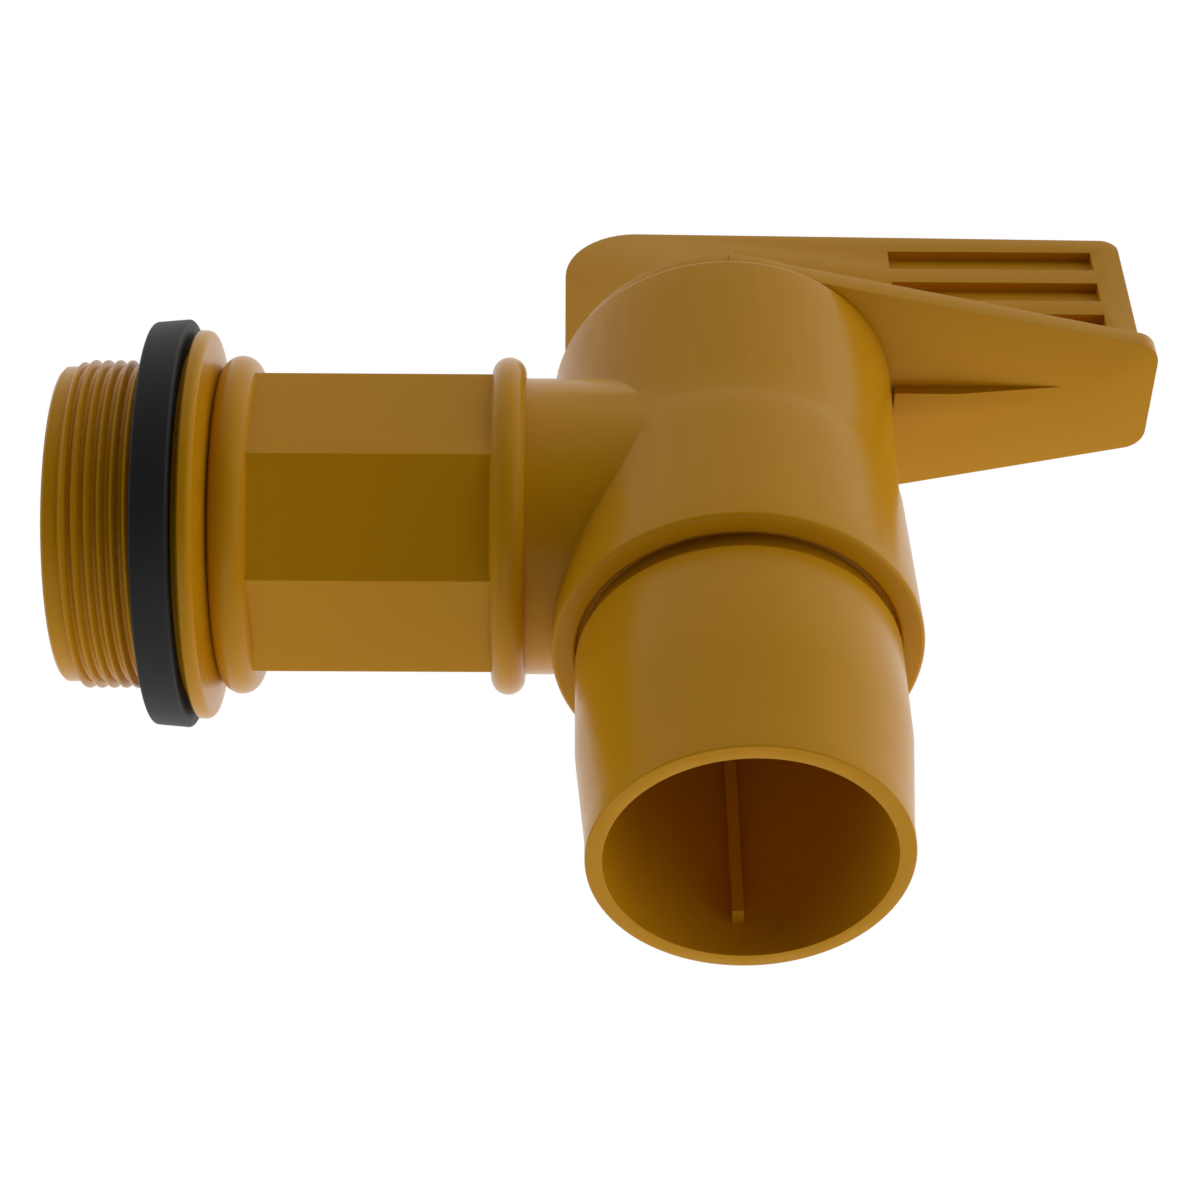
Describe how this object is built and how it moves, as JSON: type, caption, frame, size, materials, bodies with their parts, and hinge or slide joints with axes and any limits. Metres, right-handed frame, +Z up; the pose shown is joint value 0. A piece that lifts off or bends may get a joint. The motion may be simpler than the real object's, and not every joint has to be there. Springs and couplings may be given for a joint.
{
  "type": "drum tap",
  "caption": "Quarter-turn tap for a drum outlet: threaded inlet arm, upright barrel, ported plug with a down spout and a paddle handle.",
  "frame": {"origin": "centre of the gasket seat on the axis of the inlet arm", "axes": "+Z up along the plug, -X out of the threaded inlet, paddle toward +X"},
  "size_m": [0.2042, 0.0744, 0.1673],
  "materials": {
    "body_plastic": "satin moulded ochre plastic",
    "plug_plastic": "satin moulded ochre plastic",
    "handle_plastic": "satin moulded ochre plastic, finely scuffed below",
    "gasket_rubber": "matte black rubber",
    "seal_rubber": "smooth black rubber",
    "screw_steel": "plain bright steel"
  },
  "bodies": {
    "tap_body": {"body": "body_plastic", "inlet_gasket": "gasket_rubber", "port_seal": "seal_rubber"},
    "plug_and_handle": {"plug_spout": "plug_plastic", "upper_o_ring": "seal_rubber", "lower_o_ring": "seal_rubber", "handle": "handle_plastic", "handle_screw": "screw_steel", "screw_washer": "screw_steel"}
  },
  "joints": [
    {"name": "handle_turn", "type": "hinge", "parent": "tap_body", "child": "plug_and_handle", "pos_m": [0.09805, 0, 0], "axis": [0, 0, 1], "range_deg": [0, 90]}
  ]
}
